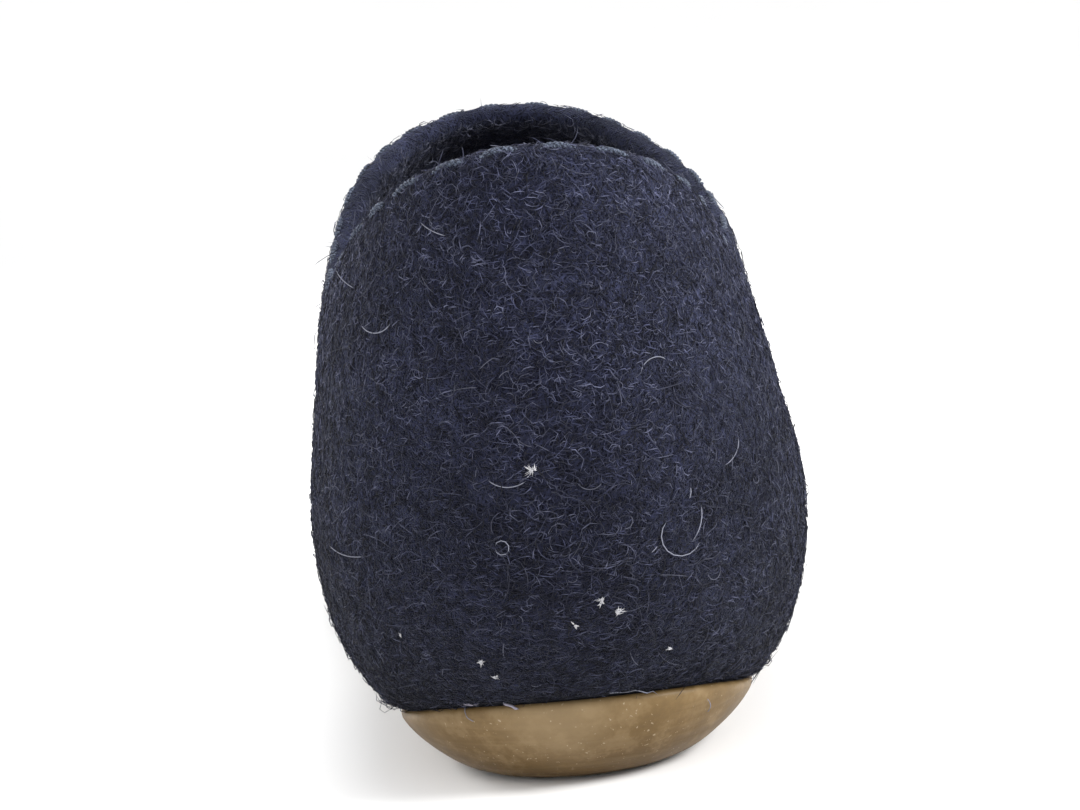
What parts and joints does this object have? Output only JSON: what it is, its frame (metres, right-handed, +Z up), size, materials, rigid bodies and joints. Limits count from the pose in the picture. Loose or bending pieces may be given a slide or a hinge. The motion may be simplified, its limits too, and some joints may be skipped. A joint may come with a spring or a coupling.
{
  "type": "felt slipper",
  "caption": "Closed felt slipper for the right foot: seamless dark blue wool felt upper, round ankle opening, felt insole and smooth tan rubber outsole.",
  "frame": {"origin": "on the floor under the middle of the shoe's bounding box", "axes": "+Y from heel to toe, +X to the lateral side of this right shoe, +Z up"},
  "size_m": [0.0983, 0.275, 0.1007],
  "materials": {
    "wool_felt": "fuzzy dark blue wool felt",
    "insole_felt": "flat dark grey wool felt",
    "thread": "twisted blue grey yarn",
    "natural_rubber": "smooth satin tan rubber"
  },
  "bodies": {
    "root": {"upper": "wool_felt", "insole": "insole_felt", "outsole": "natural_rubber"}
  },
  "joints": []
}
